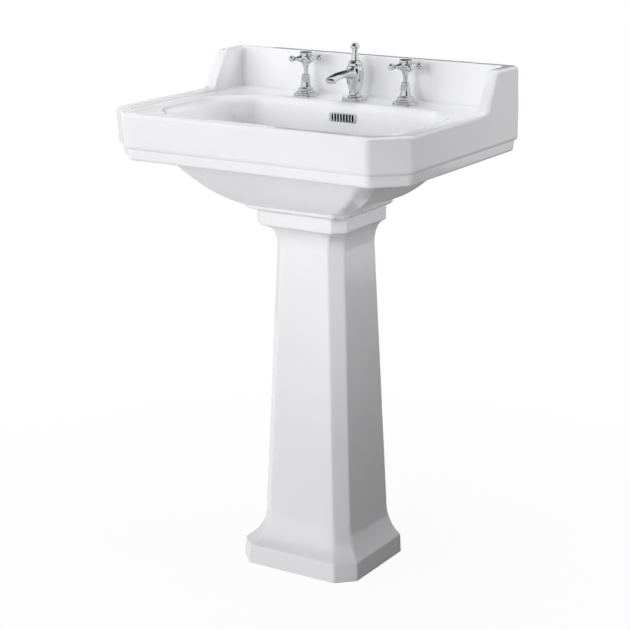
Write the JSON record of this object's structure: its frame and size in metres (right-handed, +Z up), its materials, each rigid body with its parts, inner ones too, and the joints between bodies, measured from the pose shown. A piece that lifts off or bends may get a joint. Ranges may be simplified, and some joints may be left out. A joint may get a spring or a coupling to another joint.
{
  "type": "pedestal sink",
  "caption": "White glazed pedestal sink with cut front corners, a winged upstand, a chrome three-hole tap set and a pop-up waste.",
  "frame": {"origin": "on the floor, under the middle of the basin", "axes": "+Z is up, +Y points to the wall behind the sink, +X is to the right of someone standing at it"},
  "size_m": [0.567, 0.4275, 0.9092],
  "materials": {
    "ware": "high-gloss white glaze",
    "chrome": "polished chrome plate",
    "brass": "plain turned brass",
    "rubber": "matt black",
    "plastic": "smooth white moulding",
    "nylon": "natural moulding",
    "steel": "bright drawn steel"
  },
  "bodies": {
    "stand": {"basin": "ware", "cold_back_nut": "brass", "cold_cartridge": "brass", "cold_deck_washer": "rubber", "cold_flange": "chrome", "cold_link_nuts": "brass", "cold_link_pipe": "steel", "cold_shroud": "chrome", "cold_valve_body": "brass", "hot_back_nut": "brass", "hot_cartridge": "brass", "hot_deck_washer": "rubber", "hot_flange": "chrome", "hot_link_nuts": "brass", "hot_link_pipe": "steel", "hot_shroud": "chrome", "hot_valve_body": "brass", "overflow_grille": "chrome", "pedestal": "ware", "pivot_nut": "steel", "pivot_seat": "nylon", "spout_back_nut": "brass", "spout_body": "chrome", "spout_bonnet": "chrome", "spout_flange": "chrome", "spout_straightener": "nylon", "spout_tee": "brass", "spout_washer": "rubber", "trap_body": "plastic", "trap_cup": "plastic", "trap_cup_seal": "rubber", "trap_dip_tube": "plastic", "trap_inlet_nut": "plastic", "trap_inlet_seal": "rubber", "trap_outlet_nut": "plastic", "trap_outlet_pipe": "plastic", "trap_outlet_seal": "rubber", "waste_back_nut": "brass", "waste_body": "chrome", "waste_flange_seal": "rubber", "waste_tailpiece": "plastic", "waste_under_seal": "rubber"},
    "hot_handle": {"hot_handle": "chrome", "hot_spindle": "chrome", "hot_index_cap": "chrome", "hot_handle_screw": "steel"},
    "cold_handle": {"cold_handle": "chrome", "cold_spindle": "chrome", "cold_index_cap": "chrome", "cold_handle_screw": "steel"},
    "lift": {"lift_knob": "chrome", "lift_rod": "chrome", "clevis_strap": "steel", "clevis_screw": "steel"},
    "pivot": {"pivot_rod": "steel", "spring_clip": "steel"},
    "plug": {"waste_plug": "chrome", "plug_seal": "rubber"}
  },
  "joints": [
    {"name": "hot_turn", "type": "hinge", "parent": "stand", "child": "hot_handle", "pos_m": [-0.1, 0.146, 0.81], "axis": [0, 0, 1], "range_deg": [0, 90]},
    {"name": "cold_turn", "type": "hinge", "parent": "stand", "child": "cold_handle", "pos_m": [0.1, 0.146, 0.81], "axis": [0, 0, 1], "range_deg": [-90, 0]},
    {"name": "lift_slide", "type": "slide", "parent": "stand", "child": "lift", "axis": [0, 0, 1], "range_m": [0, 0.028]},
    {"name": "pivot_tilt", "type": "hinge", "parent": "stand", "child": "pivot", "pos_m": [0, 0.0485, 0.615], "axis": [1, 0, 0], "range_deg": [0, 15.54]},
    {"name": "plug_slide", "type": "slide", "parent": "stand", "child": "plug", "axis": [0, 0, 1], "range_m": [-0.00737, 0]}
  ],
  "couplings": [
    {"joint": "pivot_tilt", "follows": "lift_slide", "rad_per_m": 9.6774},
    {"joint": "plug_slide", "follows": "lift_slide", "ratio": -0.2629}
  ]
}
